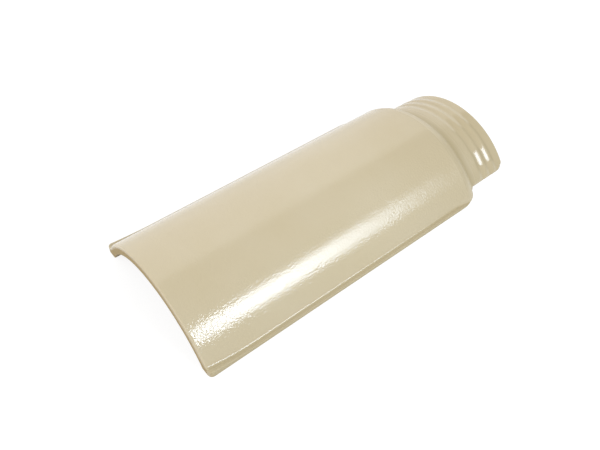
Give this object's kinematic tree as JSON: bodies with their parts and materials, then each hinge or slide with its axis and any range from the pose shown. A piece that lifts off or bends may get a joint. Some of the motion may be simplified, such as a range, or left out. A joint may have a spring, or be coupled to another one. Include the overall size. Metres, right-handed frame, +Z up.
{
  "type": "ridge tile",
  "caption": "Half-round glazed clay ridge tile with small lips along its sides and a shouldered, grooved neck that slides under the front of the next tile.",
  "frame": {"origin": "middle of the tile's footprint, on the plane that its two lips rest on", "axes": "+X across the tile, +Y along it from the open front to the neck, +Z up to the crown"},
  "size_m": [0.2092, 0.4596, 0.062],
  "materials": {
    "glazed_clay": "glossy ivory glaze over pressed and fired clay"
  },
  "bodies": {
    "root": {"ridge_tile": "glazed_clay"}
  },
  "joints": []
}
